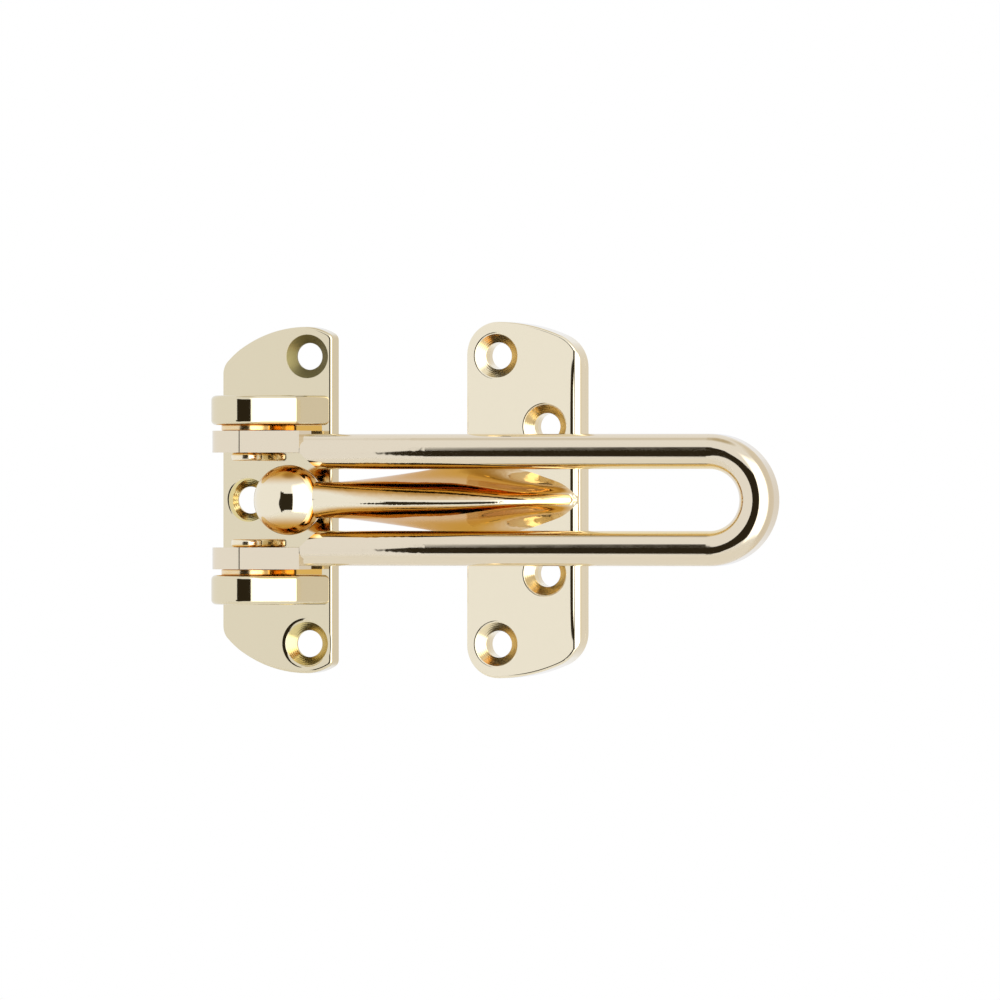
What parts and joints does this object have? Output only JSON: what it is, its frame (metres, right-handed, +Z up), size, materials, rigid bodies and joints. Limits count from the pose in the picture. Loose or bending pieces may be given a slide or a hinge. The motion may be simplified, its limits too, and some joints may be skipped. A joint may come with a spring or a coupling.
{
  "type": "swing bar door guard",
  "caption": "Polished brass swing bar door guard: a U-shaped bar on a hinge plate swings over a keeper's ball-ended horn, so that a door opens only a crack.",
  "frame": {"origin": "midway between the hinge base's two end screw holes, on the mounting plane at the back of the plates", "axes": "+Z up along the hinge axis, +X from the hinge base towards the keeper and the bar's bend, +Y into the door and frame, so the plates' fronts face -Y"},
  "size_m": [0.109, 0.0216, 0.066],
  "materials": {
    "polished_brass": "mirror polish",
    "hinge_hardware": "satin polish"
  },
  "bodies": {
    "plates": {"hinge_base": "polished_brass", "keeper": "polished_brass", "upper_hinge_pin": "hinge_hardware", "lower_hinge_pin": "hinge_hardware", "upper_washer": "hinge_hardware", "lower_washer": "hinge_hardware"},
    "bar": {"swing_bar": "polished_brass"}
  },
  "joints": [
    {"name": "bar_swing", "type": "hinge", "parent": "plates", "child": "bar", "pos_m": [-0.0094, -0.0114, 0], "axis": [0, 0, -1], "range_deg": [0, 180]}
  ]
}
